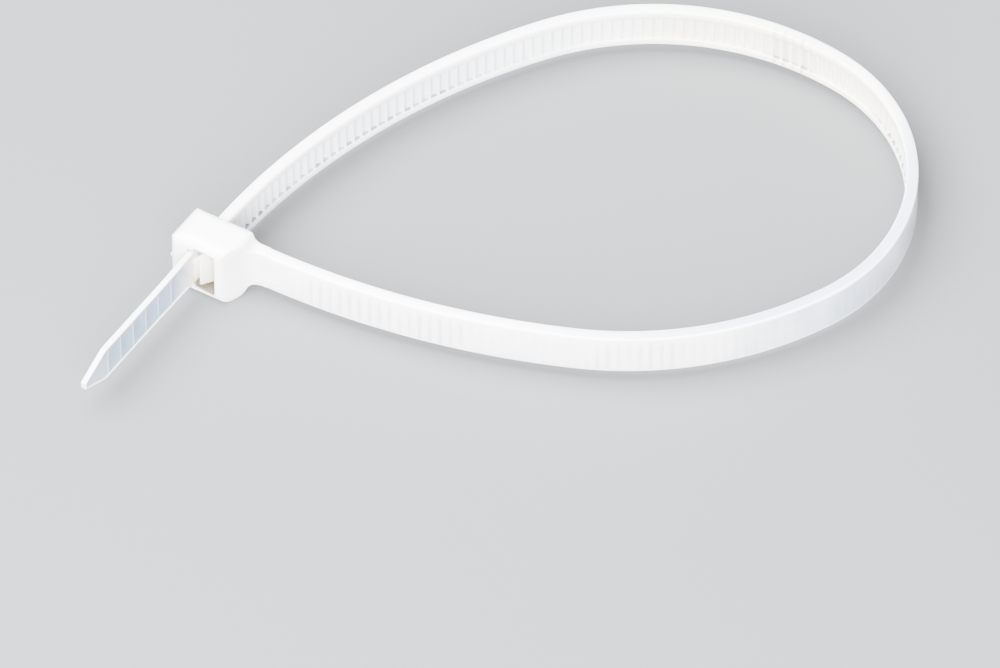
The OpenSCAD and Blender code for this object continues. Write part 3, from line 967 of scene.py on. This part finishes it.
@dataclass(frozen=True)
class PaintedLightAndGrainGroup:
    """Shader group that paints shade and highlights onto the nylon, and puts grain on its surface.
    It tells where the nylon is thin and paints its shade there, paints shade in stripes over the
    teeth, shadows in the notches by the rails, cool shade at the bend and on the top edge and warm
    shade further round the loop, and paints short glints on the teeth as highlights.

    A window opens over its first range and closes over its second one. Those from head_run to
    dots count teeth along the strap, those from valley to dash follow one tooth, and the last
    two go across the strap and up the wall of a rail.
    """

    name: str = "nylon_thickness"
    head_run: Point = (112.0, 130.0)
    # The next two windows place the painted stripe shade on the inner face.
    shaded: Window = ((88.5, 91.0), (93.0, 95.5))
    entry: Window = ((151.0, 153.0), (157.5, 158.5))
    # The next two place the painted cool shade at the bend and on the top edge.
    bend: Window = ((40.0, 50.0), (72.0, 80.0))
    top_edge_shade: Window = ((14.0, 48.0), (72.0, 84.0))
    # The next two place the painted warm shade on the inner web and where the tail leaves the slot.
    cream_shade: Window = ((70.0, 80.0), (100.0, 112.0))
    mouth: Window = ((156.0, 157.0), (161.0, 162.4))
    # The next one widens the painted notch shadows over another run.
    dots: Window = ((67.0, 70.0), (80.0, 84.0))
    valley: Window = ((0.42, 0.80), (0.93, 1.0))
    # The next one places the painted highlights along one tooth, and the three after it the painted
    # notch shadows.
    glint: Window = ((0.80, 0.88), (0.97, 1.0))
    dash: Window = ((0.22, 0.34), (0.93, 1.0))
    dash_across: Window = ((0.56, 0.60), (0.66, 0.70))
    dash_up: Window = ((0.15, 0.40), (0.88, 1.0))
    patch_scale: float = 150.0
    wave_scale: float = 450.0
    grain_scale: float = 6500.0

    def build(self) -> bpy.types.NodeTree:
        """Builds the group, with masks and a height as its outputs."""
        group = bpy.data.node_groups.new(self.name, "ShaderNodeTree")
        face = group.interface
        for name, value in (
            ("Rail Border", 0.60), ("Stripes", 0.5), ("Web", 0.3), ("Back", 0.0),
            ("Notches", 0.5), ("Mouth", 0.0),
        ):
            socket = face.new_socket(name, in_out="INPUT", socket_type="NodeSocketFloat")
            socket.default_value = value
        for name in ("Cool", "Warm", "Thin", "Stripe", "Notch", "Cloud", "Height"):
            face.new_socket(name, in_out="OUTPUT", socket_type="NodeSocketFloat")
        nodes, links = group.nodes, group.links
        given, result = nodes.new("NodeGroupInput"), nodes.new("NodeGroupOutput")
        place = nodes.new("ShaderNodeTexCoord")

        def math_node(kind: str, a: object, b: object = None) -> bpy.types.NodeSocket:
            """Adds a Math node and returns its output."""
            node = nodes.new("ShaderNodeMath")
            node.operation = kind
            for socket, value in zip(node.inputs, (a, b)):
                if isinstance(value, bpy.types.NodeSocket):
                    links.new(value, socket)
                elif value is not None:
                    socket.default_value = value
            return node.outputs[0]

        def smooth(value: bpy.types.NodeSocket, low: object, high: object) -> bpy.types.NodeSocket:
            """Adds a smooth step from 0 at low to 1 at high and returns its output."""
            node = nodes.new("ShaderNodeMapRange")
            node.interpolation_type = "SMOOTHSTEP"
            links.new(value, node.inputs["Value"])
            for name, limit in (("From Min", low), ("From Max", high)):
                if isinstance(limit, bpy.types.NodeSocket):
                    links.new(limit, node.inputs[name])
                else:
                    node.inputs[name].default_value = limit
            return node.outputs["Result"]

        def rest(value: object) -> bpy.types.NodeSocket:
            """Returns what a mask leaves of 1."""
            return math_node("SUBTRACT", 1.0, value)

        def times(first: object, *others: object) -> object:
            """Multiplies several values."""
            for other in others:
                first = math_node("MULTIPLY", first, other)
            return first

        def window(value: bpy.types.NodeSocket, span: Window) -> bpy.types.NodeSocket:
            """Adds a soft window that opens over the first range and closes over the second."""
            return times(smooth(value, *span[0]), rest(smooth(value, *span[1])))

        def mixed(value: object, low: float) -> bpy.types.NodeSocket:
            """Lifts a mask, so that it runs from a lowest value to 1."""
            return math_node("ADD", times(value, 1.0 - low), low)

        def mark(name: str) -> bpy.types.NodeSocket:
            """Adds an Attribute node and returns its value."""
            node = nodes.new("ShaderNodeAttribute")
            node.attribute_name = name
            return node.outputs["Fac"]

        def noise(scale: float, detail: float) -> bpy.types.NodeSocket:
            """Adds noise that is fixed to the piece and returns its value."""
            node = nodes.new("ShaderNodeTexNoise")
            node.inputs["Scale"].default_value = scale
            node.inputs["Detail"].default_value = detail
            links.new(place.outputs["Object"], node.inputs["Vector"])
            return node.outputs["Fac"]

        uv = nodes.new("ShaderNodeUVMap")
        uv.uv_map = "strap"
        parts = nodes.new("ShaderNodeSeparateXYZ")
        links.new(uv.outputs["UV"], parts.inputs["Vector"])
        along, across = parts.outputs["X"], parts.outputs["Y"]
        phase, off_middle = math_node("FRACT", along), math_node("ABSOLUTE", across)
        band, inner = mark("band"), mark("inner")
        outer = rest(inner)
        cloud = smooth(noise(self.patch_scale, 1.5), 0.40, 0.64)
        links.new(cloud, result.inputs["Cloud"])
        each = nodes.new("ShaderNodeTexWhiteNoise")
        each.noise_dimensions = "1D"
        links.new(math_node("FLOOR", along), each.inputs["W"])
        uneven = mixed(each.outputs["Value"], 0.5)

        # Painted shade in stripes over the teeth: on the outer face it fades towards the upper side
        # and the rails, and on the inner face it lies on the shaded runs and near the head.
        valley = window(phase, self.valley)
        edge = rest(smooth(off_middle, 0.80, 0.96))
        head_run = smooth(along, *self.head_run)
        shaded = window(along, self.shaded)
        fade = rest(smooth(across, 0.35, 0.95))
        stripe_shading = given.outputs["Stripes"]
        outer_stripe_shade = times(valley, uneven, fade, edge, mixed(cloud, 0.3), outer, stripe_shading)
        entry = times(window(along, self.entry), rest(smooth(off_middle, 0.60, 0.66)))
        dim = times(valley, uneven, math_node("MAXIMUM", shaded, entry), inner)
        links.new(times(math_node("ADD", outer_stripe_shade, dim), band), result.inputs["Stripe"])

        # Painted shade of thin nylon: the web between the rails is tinted greyer and bluer,
        # strongest from tooth 130 on towards the head, on the inner face as Web sets and on the
        # outer as Back sets.
        border = given.outputs["Rail Border"]
        # Painted highlights: short white glints on the upper web at the end of each tooth, cut out
        # of the painted thin shade.
        glints = times(window(phase, self.glint), smooth(across, 0.34, 0.42), uneven)
        web = rest(smooth(off_middle, border, math_node("ADD", border, 0.06)))
        thin_shade_amount = times(mixed(valley, 0.7), rest(glints), mixed(head_run, 0.25))
        facing = times(inner, given.outputs["Web"])
        sides = math_node("ADD", facing, times(outer, given.outputs["Back"]))
        links.new(times(web, thin_shade_amount, sides, band), result.inputs["Thin"])

        # Cool colour: a little random cloudy tone, with painted cool shade on the outer face at the
        # bend and on the top edge of the strap.
        bend = times(window(along, self.bend), outer, mixed(cloud, 0.6))
        cloud_tone_and_bend_shade = times(math_node("ADD", times(cloud, 0.15), times(bend, 0.85)), edge)
        top_edge_shade = times(window(along, self.top_edge_shade), smooth(across, 0.985, 0.999), 0.85)
        links.new(times(math_node("MAXIMUM", cloud_tone_and_bend_shade, top_edge_shade), band), result.inputs["Cool"])
        # Painted warm shade: a cream tint on the inner web further round the loop, and where the
        # tail leaves the slot as Mouth sets.
        cream_shade = times(window(along, self.cream_shade), inner, given.outputs["Web"], band)
        mouth = times(window(along, self.mouth), given.outputs["Mouth"])
        links.new(math_node("ADD", cream_shade, mouth), result.inputs["Warm"])

        # Painted shadows: dark dashes on the walls of the rails between the teeth, full from tooth
        # 130 on, in the dots run and in the shaded run, and faint elsewhere.
        dash = times(window(off_middle, self.dash_across), window(mark("rise"), self.dash_up))
        dash = times(dash, window(phase, self.dash), uneven, given.outputs["Notches"])
        runs = math_node("MAXIMUM", head_run, window(along, self.dots))
        runs = math_node("MAXIMUM", runs, mixed(shaded, 0.12))
        links.new(times(dash, runs, band), result.inputs["Notch"])

        grain, wave = noise(self.grain_scale, 3.0), noise(self.wave_scale, 2.0)
        links.new(math_node("ADD", times(grain, 0.3), wave), result.inputs["Height"])
        return group


@dataclass(frozen=True)
class NylonWithPaintedLight:
    """Milky undyed nylon, with painted shade: greyer where it is thin and warmer in its cavities.
    """

    name: str = "natural_nylon"
    thick: Colour = (0.965, 0.955, 0.935)
    # partly random tone, partly painted cool shade at the bend and on the top edge
    cool: Colour = (0.44, 0.53, 0.65)
    # painted warm shade
    warm: Colour = (0.91, 0.85, 0.76)
    # painted shade where the nylon is thin
    thin_shade: Colour = (0.60, 0.67, 0.77)
    # painted shade in stripes over the teeth
    stripe_shade: Colour = (0.60, 0.575, 0.56)
    # painted shadows in the notches by the rails
    notch_shadow: Colour = (0.15, 0.14, 0.13)
    # painted shade in the slot and the recess, dark and warm
    cavity: Colour = (0.19, 0.155, 0.115)
    # painted shade in the tail's hollow, bluer
    pool: Colour = (0.19, 0.26, 0.37)
    rail_border: float = 0.60
    # strength of the painted stripe shade on the outer face
    stripe_shading: float = 0.8
    # web and back set the painted shade of thin nylon on the inner and on the outer face
    web: float = 0.75
    # strength of the painted notch shadows
    notch_shadows: float = 0.95
    # hollow sets the painted shade in the tail's hollow
    hollow: float = 0.0
    back: float = 0.0
    # mouth sets the painted warm shade where the tail leaves the slot
    mouth: float = 0.0
    roughness: Point = (0.31, 0.42)
    scatter: float = 0.0005
    bump: float = 0.12
    grain_depth: float = 0.00003
    ior: float = 1.53
    scatter_reach: Colour = (1.0, 0.93, 0.82)

    def material(self, group: bpy.types.NodeTree) -> bpy.types.Material:
        """Builds the material round the shared group.

        Args:
            group: Group that paints shade and highlights onto the nylon.

        Returns:
            The material.
        """
        material = bpy.data.materials.new(self.name)
        material.use_nodes = True
        nodes, links = material.node_tree.nodes, material.node_tree.links
        shader = nodes["Principled BSDF"]
        masks = nodes.new("ShaderNodeGroup")
        masks.node_tree = group
        for name, value in (
            ("Rail Border", self.rail_border), ("Stripes", self.stripe_shading), ("Web", self.web),
            ("Back", self.back), ("Notches", self.notch_shadows), ("Mouth", self.mouth),
        ):
            masks.inputs[name].default_value = value
        depth = nodes.new("ShaderNodeAttribute")
        depth.attribute_name = "cavity"
        floor = nodes.new("ShaderNodeAttribute")
        floor.attribute_name = "hollow"
        deep = nodes.new("ShaderNodeMath")
        deep.operation = "MULTIPLY"
        deep.inputs[1].default_value = self.hollow
        links.new(floor.outputs["Fac"], deep.inputs[0])
        last: bpy.types.NodeSocket | None = None
        # Each mask mixes a colour over the last: random tone with painted cool shade, painted warm
        # shade, painted shade of thin nylon, painted stripe shade, painted notch shadows, painted
        # shade in the tail's hollow and painted shade in the slot and the recess.
        for mask, colour in (
            (masks.outputs["Cool"], self.cool), (masks.outputs["Warm"], self.warm),
            (masks.outputs["Thin"], self.thin_shade), (masks.outputs["Stripe"], self.stripe_shade),
            (masks.outputs["Notch"], self.notch_shadow), (deep.outputs["Value"], self.pool),
            (depth.outputs["Fac"], self.cavity),
        ):
            tint = nodes.new("ShaderNodeMix")
            tint.data_type = "RGBA"
            tint.inputs["A"].default_value = (*self.thick, 1.0)
            tint.inputs["B"].default_value = (*colour, 1.0)
            links.new(mask, tint.inputs["Factor"])
            if last is not None:
                links.new(last, tint.inputs["A"])
            last = tint.outputs["Result"]
        links.new(last, shader.inputs["Base Color"])
        gloss = nodes.new("ShaderNodeMapRange")
        gloss.inputs["To Min"].default_value = self.roughness[0]
        gloss.inputs["To Max"].default_value = self.roughness[1]
        links.new(masks.outputs["Cloud"], gloss.inputs["Value"])
        links.new(gloss.outputs["Result"], shader.inputs["Roughness"])
        bump = nodes.new("ShaderNodeBump")
        bump.inputs["Strength"].default_value = self.bump
        bump.inputs["Distance"].default_value = self.grain_depth
        links.new(masks.outputs["Height"], bump.inputs["Height"])
        links.new(bump.outputs["Normal"], shader.inputs["Normal"])
        shader.inputs["IOR"].default_value = self.ior
        shader.inputs["Subsurface Weight"].default_value = 1.0
        shader.inputs["Subsurface Radius"].default_value = self.scatter_reach
        shader.inputs["Subsurface Scale"].default_value = self.scatter
        return material


@dataclass(frozen=True)
class SoftBox:
    """Large soft lamp, hung in a direction from the tie and pointed at it."""

    name: str
    azimuth: float
    elevation: float
    size: float
    power: float


@dataclass(frozen=True)
class Studio:
    """Pale floor, soft lights and the camera at the photograph's angle."""

    azimuth: float = 29.0
    elevation: float = 52.0
    target: Spot = (0.02693, 0.00745, 0.0)
    view_w: float = 0.0926
    distance: float = 1.4
    sensor: float = 36.0
    floor_half: float = 3.0
    floor_colour: Colour = (0.125, 0.128, 0.134)
    floor_roughness: float = 0.75
    sky: Colour = (0.95, 0.97, 1.0)
    sky_power: float = 0.9
    lamp_distance: float = 0.5
    lamps: tuple[SoftBox, ...] = (
        SoftBox("top_box", -60.0, 65.0, 0.5, 26.0),
        SoftBox("front_box", 25.0, 35.0, 0.4, 21.0),
    )

    def aim(self, obj: bpy.types.Object, azimuth: float, elevation: float, away: float) -> None:
        """Places an object away from the target and points it there.

        Args:
            obj: Camera or lamp.
            azimuth: Direction of the object from the target, in degrees.
            elevation: Its height above the floor, in degrees.
            away: Its distance, in metres.
        """
        a, e = math.radians(azimuth), math.radians(elevation)
        back = Vector((math.sin(a) * math.cos(e), -math.cos(a) * math.cos(e), math.sin(e)))
        obj.location = Vector(self.target) + back * away
        obj.rotation_euler = back.to_track_quat("Z", "Y").to_euler()

    def camera(self) -> None:
        """Sets up the long lens that the photograph was taken with."""
        data = bpy.data.cameras.new("camera")
        data.sensor_width = self.sensor
        data.lens = self.sensor * self.distance / self.view_w
        data.clip_start = 0.01
        cam = scene_object("camera", data)
        self.aim(cam, self.azimuth, self.elevation, self.distance)
        bpy.context.scene.camera = cam

    def floor(self) -> None:
        """Lays the plain pale floor under the head's side and the edge of the strap."""
        mesh = bpy.data.meshes.new("floor")
        half = self.floor_half
        corners = [(x, y, 0) for x, y in oblong((-half, -half), (half, half))]
        mesh.from_pydata(corners, [], [(0, 1, 2, 3)])
        floor = scene_object("floor", mesh)
        material = bpy.data.materials.new("floor")
        material.use_nodes = True
        shader = material.node_tree.nodes["Principled BSDF"]
        shader.inputs["Base Color"].default_value = (*self.floor_colour, 1.0)
        shader.inputs["Roughness"].default_value = self.floor_roughness
        mesh.materials.append(material)

    def light(self) -> None:
        """Hangs the lamps and sets the even light of the room."""
        world = bpy.data.worlds.new("studio")
        world.use_nodes = True
        sky = world.node_tree.nodes["Background"]
        sky.inputs["Color"].default_value = (*self.sky, 1.0)
        sky.inputs["Strength"].default_value = self.sky_power
        bpy.context.scene.world = world
        for lamp in self.lamps:
            data = bpy.data.lights.new(lamp.name, "AREA")
            data.size = lamp.size
            data.energy = lamp.power
            hung = scene_object(lamp.name, data)
            self.aim(hung, lamp.azimuth, lamp.elevation, self.lamp_distance)

    def build(self) -> None:
        """Builds the whole studio."""
        self.floor()
        self.camera()
        self.light()


def finish_piece(obj: bpy.types.Object, name: str, material: bpy.types.Material) -> None:
    """Puts a finished solid into metres, dresses it and ties it to the frame.

    Args:
        obj: Working object, in millimetres.
        name: Name of the piece.
        material: Material of the piece.
    """
    obj.name = name
    obj.data.transform(Matrix.Scale(METRES, 4))
    obj.data.materials.clear()
    obj.data.materials.append(material)
    obj.data.shade_smooth()
    obj.data.set_sharp_from_angle(angle=SHADE_ANGLE)
    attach(obj, "root")
    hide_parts("cable_tie")
    obj.data.calc_loop_triangles()
    LOG.info("%s: %d triangles", name, len(obj.data.loop_triangles))


def main() -> None:
    """Builds the tie and its studio, with the studio's two soft boxes."""
    logging.basicConfig(level=logging.INFO)
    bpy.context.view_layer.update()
    Studio().build()
    group = PaintedLightAndGrainGroup().build()
    nylon = NylonWithPaintedLight().material(group)
    # The tail's copy of the nylon is painted in shade: darker and bluer all over, with painted warm
    # shade in the slot and at its mouth, painted shade in its hollow and on its outer face.
    tail_nylon = NylonWithPaintedLight(
        name="natural_nylon_tail", stripe_shading=0.0, web=0.0, notch_shadows=0.0, hollow=0.9, back=0.5,
        mouth=1.0, scatter=0.00025,
        thick=(0.80, 0.825, 0.875), warm=(0.80, 0.745, 0.68), cavity=(0.80, 0.75, 0.69),
    ).material(group)
    # The pawl's copy paints a lighter warm shade where it lies in the recess.
    pawl_nylon = NylonWithPaintedLight(
        name="natural_nylon_pawl", stripe_shading=0.0, web=0.0, notch_shadows=0.0, scatter=0.0003,
        cavity=(0.74, 0.67, 0.575),
    ).material(group)
    path = StrapPath()
    strap = Strap(path)
    head = Head(strap)
    tail_form = Tail(path, strap)
    maps = Coordinates(path, strap, head, tail_form)
    body = combine(strap.build(nylon), head.build(), Cut.JOIN)
    combine(body, strap.ejector_mark(), Cut.TAKE_OUT)
    clean(body)
    maps.apply(body, whole=False)
    finish_piece(body, "head_and_strap", nylon)
    pawl = Pawl(head).build()
    maps.apply(pawl, whole=True)
    finish_piece(pawl, "pawl", pawl_nylon)
    tail = tail_form.build()
    maps.apply(tail, whole=True)
    finish_piece(tail, "tail", tail_nylon)


if __name__ == "__main__":
    main()
